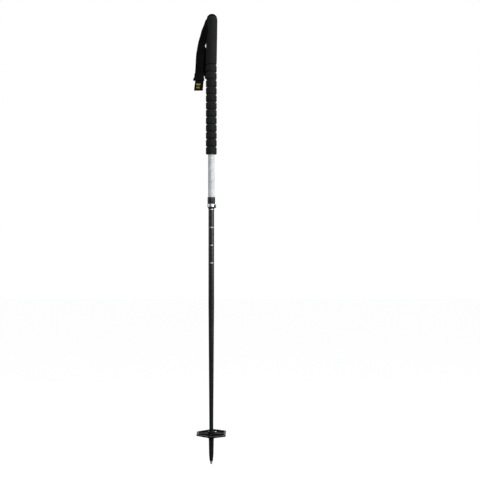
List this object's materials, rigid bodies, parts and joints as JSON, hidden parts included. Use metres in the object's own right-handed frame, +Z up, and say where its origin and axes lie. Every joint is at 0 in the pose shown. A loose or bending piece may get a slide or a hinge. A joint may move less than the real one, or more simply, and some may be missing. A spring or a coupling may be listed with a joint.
{
  "type": "ski touring pole",
  "caption": "Two-section adjustable ski touring pole: long ribbed foam grip, wrist strap, lever clamp, hexagonal snow basket and steel tip.",
  "frame": {"origin": "on the pole's axis in the middle of the smooth grip, where the hand holds it, 1195 mm above the tip's end", "axes": "+Z up along the tubes from tip to grip, +X forward, away from the strap; the clamp's screw faces -Y and its lever is on the +Y side"},
  "size_m": [0.0905, 0.091, 1.263],
  "materials": {
    "grip_foam": "fine-celled black EVA foam, matt",
    "grip_plastic": "moulded black polypropylene, fine grain",
    "webbing": "woven black polyester webbing",
    "wrist_padding": "soft black brushed fabric over thin padding",
    "strap_rubber": "black moulded rubber sleeve",
    "label": "woven dull yellow label with no lettering",
    "tube_white": "satin off-white powder coat with a faint grey geometric pattern",
    "tube_black": "satin black anodised tube with white length marks",
    "lock_plastic": "black glass-filled nylon",
    "polished_alloy": "polished silver aluminium",
    "black_screw": "black oxide socket screw",
    "steel": "turned stainless steel",
    "carbide": "dark sintered carbide",
    "basket_plastic": "moulded black plastic, slightly glossy on its top faces"
  },
  "bodies": {
    "upper_section": {"upper_tube": "tube_white", "grip_foam_lower": "grip_foam", "grip_foam_upper": "grip_foam", "grip_head": "grip_plastic", "grip_top_cap": "grip_plastic", "strap_pin": "steel", "strap_anchor": "webbing", "lock_collar": "lock_plastic", "lock_bushing": "lock_plastic", "clamp_band": "polished_alloy", "cam_pad": "lock_plastic", "lever_barrel": "steel"},
    "strap": {"strap_wrist_band": "wrist_padding", "strap_webbing": "webbing", "strap_keeper": "strap_rubber", "strap_tab": "webbing", "strap_label": "label"},
    "lock_lever": {"lock_lever": "polished_alloy"},
    "tension_screw": {"tension_screw": "black_screw"},
    "lower_section": {"lower_tube": "tube_black", "guide_plug": "lock_plastic", "tip_ferrule": "basket_plastic", "tip_holder": "steel", "tip_insert": "carbide"},
    "basket": {"basket": "basket_plastic"}
  },
  "joints": [
    {"name": "telescope", "type": "slide", "parent": "upper_section", "child": "lower_section", "axis": [0, 0, 1], "range_m": [-0.146, 0.154]},
    {"name": "basket_turn", "type": "hinge", "parent": "lower_section", "child": "basket", "pos_m": [0, 0, -1.108], "axis": [0, 0, 1], "range_deg": [0, 360]},
    {"name": "lever_swing", "type": "hinge", "parent": "upper_section", "child": "lock_lever", "pos_m": [0.0106, 0.0115, -0.4691], "axis": [0, 0, -1], "range_deg": [0, 150]},
    {"name": "tension_screw_turn", "type": "hinge", "parent": "upper_section", "child": "tension_screw", "pos_m": [0.0106, 0, -0.4691], "axis": [0, -1, 0], "range_deg": [-180, 180]},
    {"name": "strap_swing", "type": "hinge", "parent": "upper_section", "child": "strap", "pos_m": [-0.0154, 0, 0.0505], "axis": [0, 1, 0], "range_deg": [0, 110]}
  ]
}
